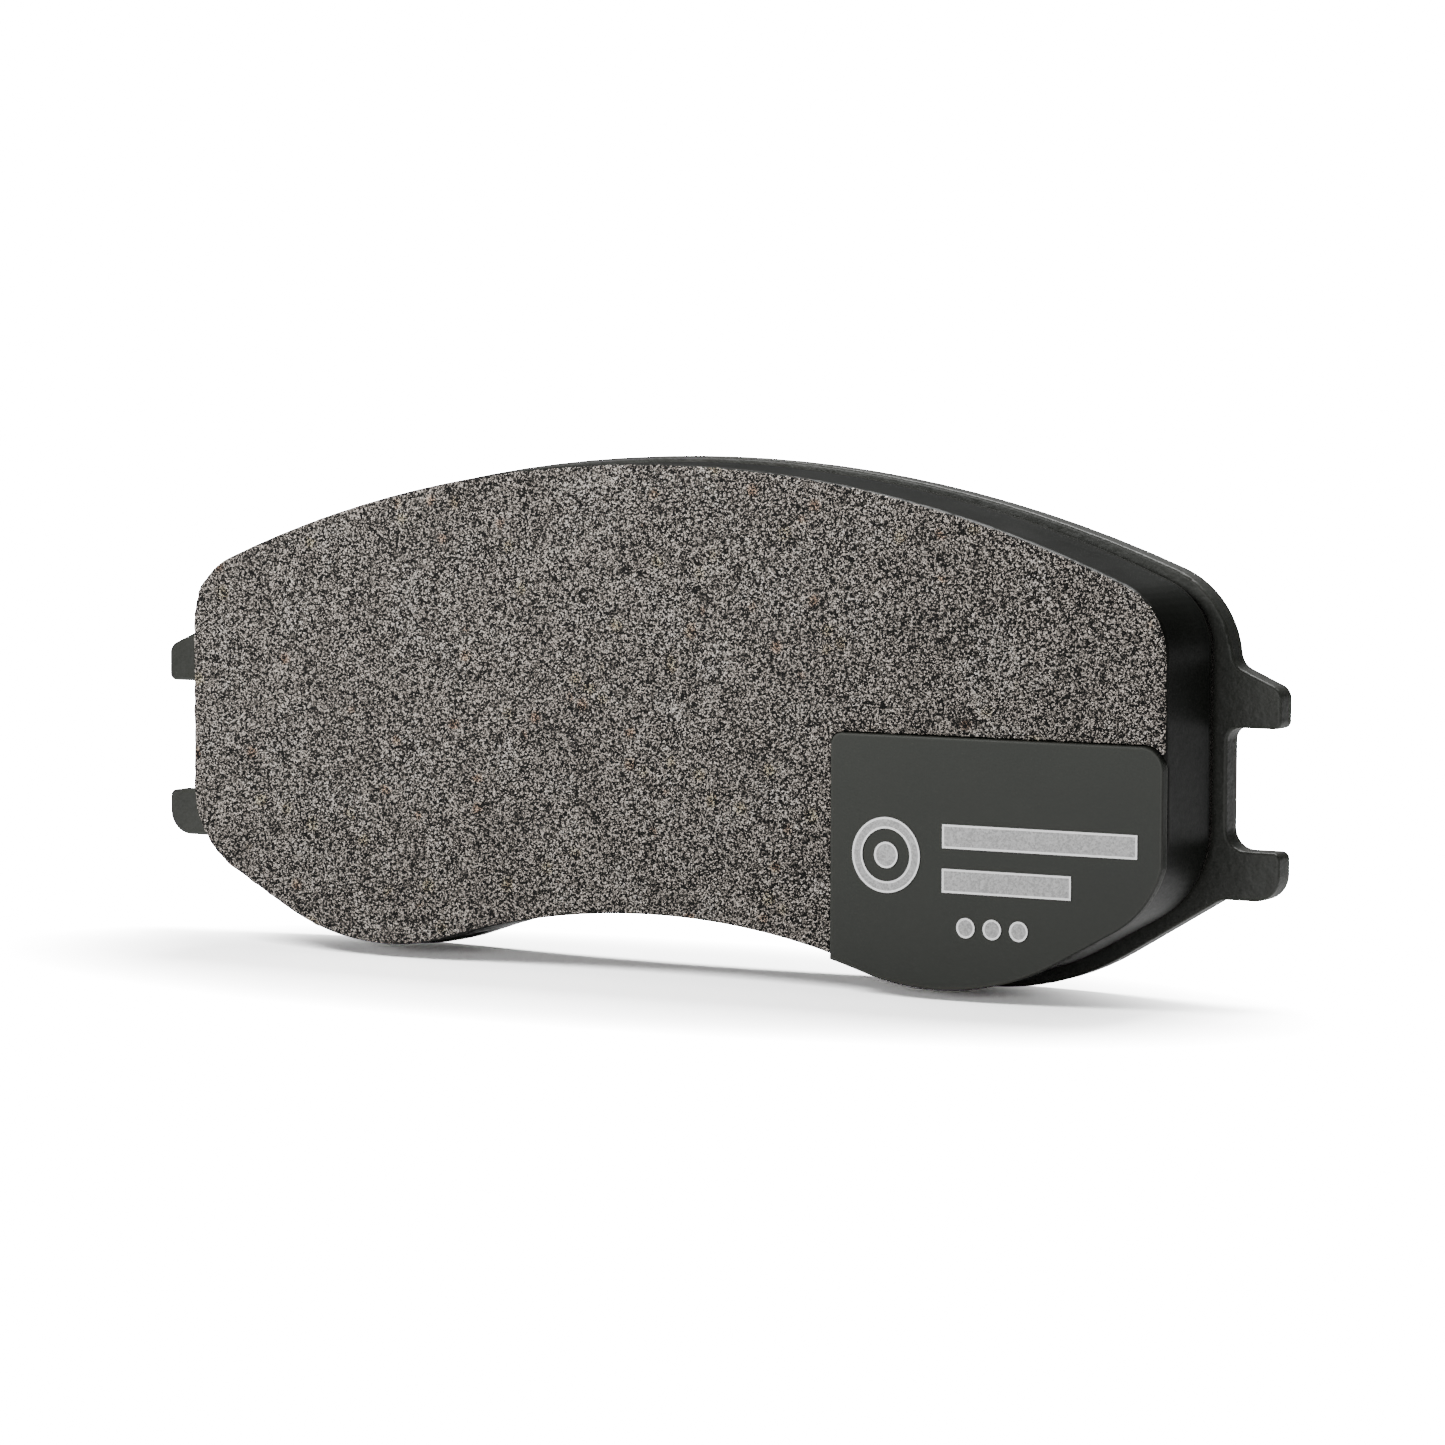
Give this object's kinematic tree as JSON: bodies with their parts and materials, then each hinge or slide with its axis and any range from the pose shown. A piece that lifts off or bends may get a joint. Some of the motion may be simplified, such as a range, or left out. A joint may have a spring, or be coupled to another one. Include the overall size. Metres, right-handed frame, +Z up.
{
  "type": "brake pad",
  "caption": "Disc brake pad with a thick lobed friction block on a thin steel plate with two forked, slotted ends, standing on its lower lobes",
  "frame": {"origin": "middle of the pad's length and of its thickness, on the surface that the two lower lobes stand on", "axes": "+X along the pad's length, towards the end with the identification plate; -Y out of the friction face and +Y out of the steel plate's back; +Z up, radially outward on the car"},
  "size_m": [0.1512, 0.018, 0.0604],
  "materials": {
    "plate_paint": "satin powder coat, dark grey-green, on stamped steel",
    "underlayer": "moulded heat barrier under the same dark coating as the block's side",
    "friction_compound": "coarse ground friction compound, speckled black, grey and light grey with sparse copper flecks",
    "tag_plastic": "matte dark grey-green",
    "mark_foil": "thin pale silver-grey print"
  },
  "bodies": {
    "root": {"backing_plate": "plate_paint", "underlayer": "underlayer", "friction_block": "friction_compound", "id_plate": "tag_plastic", "id_mark": "mark_foil"}
  },
  "joints": []
}
